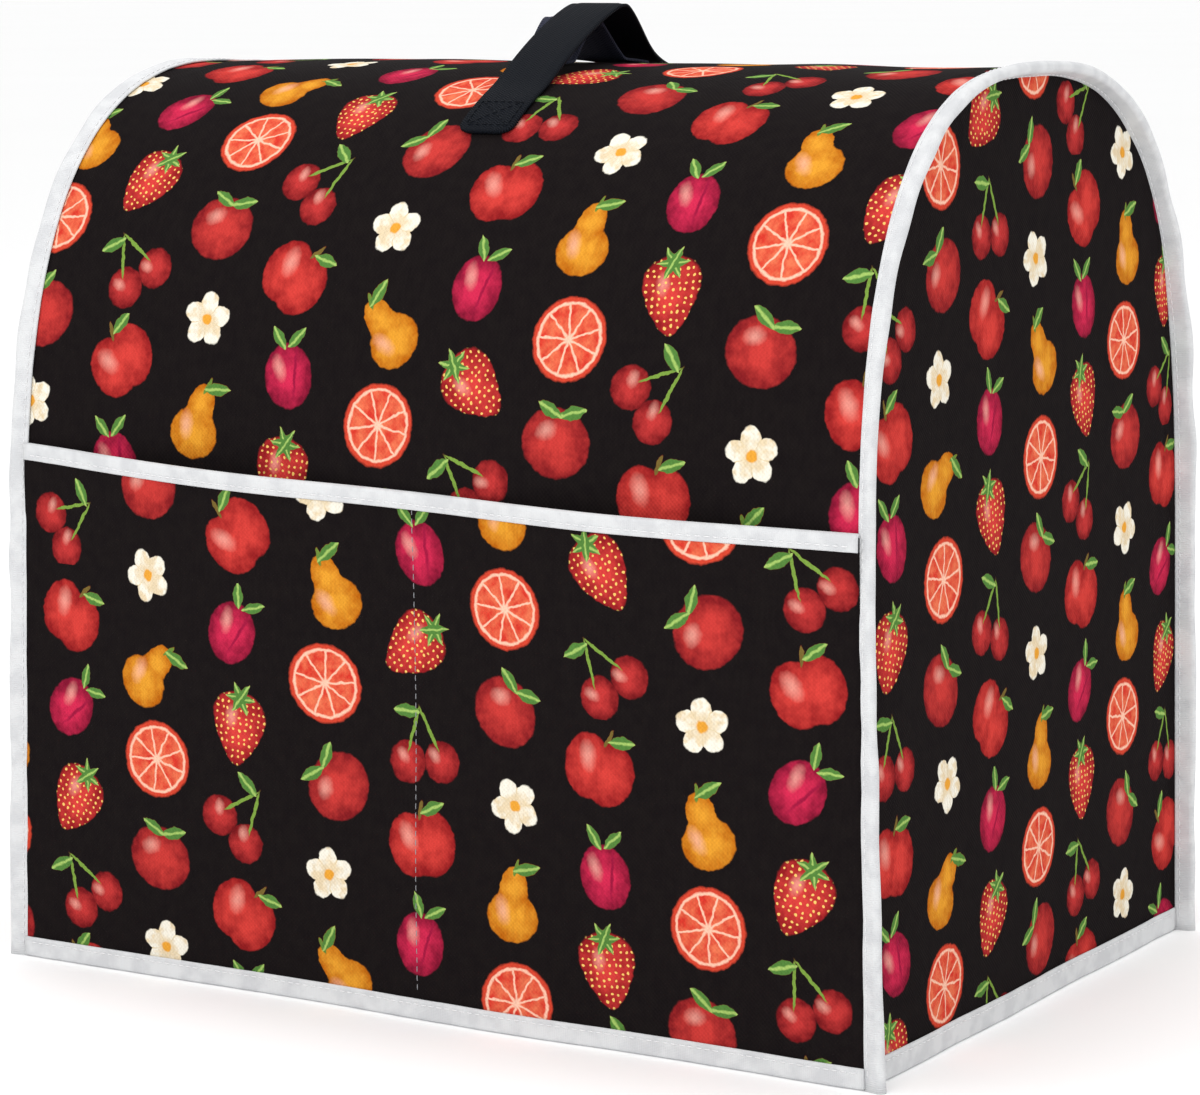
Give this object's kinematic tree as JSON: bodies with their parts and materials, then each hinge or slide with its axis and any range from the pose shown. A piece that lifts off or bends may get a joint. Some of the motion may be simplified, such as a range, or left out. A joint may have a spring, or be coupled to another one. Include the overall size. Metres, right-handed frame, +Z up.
{
  "type": "stand mixer cover",
  "caption": "Fitted cloth cover with an arched top, bound seams and hem, front pockets and a webbing handle; it stands over a stand mixer on its hem",
  "frame": {"origin": "centre of the cover's box on the surface that it stands on", "axes": "X runs to the right along the pocket front, -Y points out of the front, +Z is up; the seams lie towards -X and +X"},
  "size_m": [0.4078, 0.3047, 0.3922],
  "materials": {
    "printed_cloth": "tight canvas, black ground with a printed fruit and blossom repeat, matt",
    "white_tape": "woven white binding tape, matt, with a row of white stitches",
    "webbing": "ribbed black webbing, slight sheen"
  },
  "bodies": {
    "root": {"main_panel": "printed_cloth", "side_panel_left": "printed_cloth", "side_panel_right": "printed_cloth", "pocket_panel": "printed_cloth", "pocket_binding": "white_tape", "edge_binding_left": "white_tape", "edge_binding_right": "white_tape", "hem_binding_front": "white_tape", "hem_binding_back": "white_tape", "hem_binding_left": "white_tape", "hem_binding_right": "white_tape", "handle_strap": "webbing", "handle_under_strap": "webbing"}
  },
  "joints": []
}
